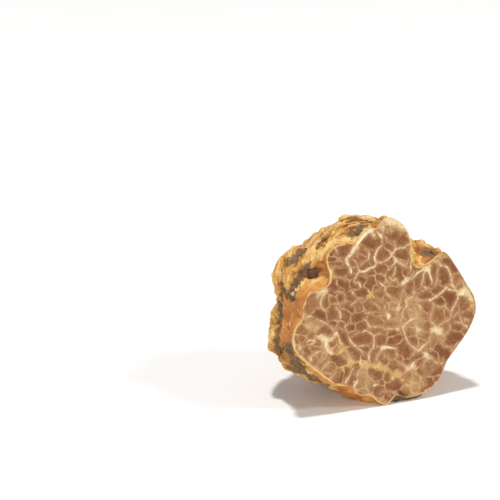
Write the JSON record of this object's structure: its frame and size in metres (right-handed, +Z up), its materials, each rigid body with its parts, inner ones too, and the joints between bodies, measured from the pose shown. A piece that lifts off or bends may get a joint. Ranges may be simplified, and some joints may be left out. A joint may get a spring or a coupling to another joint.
{
  "type": "halved bianchetto truffle",
  "caption": "Half of a small pale truffle with a lobed, furrowed skin and a flat cut face of marbled flesh, lying on its skin; food prop for kitchens and tables.",
  "frame": {"origin": "middle of the base of the half's box, on the surface it lies on", "axes": "+Z up; -Y is the side of the cut face, which leans back 6 degrees from upright; +X to the right as seen from the front, along the face's width"},
  "size_m": [0.042, 0.027, 0.0376],
  "materials": {
    "skin": "dull, dry and finely wrinkled, golden ochre with pale raised folds and grey-brown earth in the furrows",
    "flesh": "firm, moist pinkish-tan flesh with a net of cream and white veins, softly glossy"
  },
  "bodies": {
    "root": {"truffle_half": "skin"}
  },
  "joints": []
}
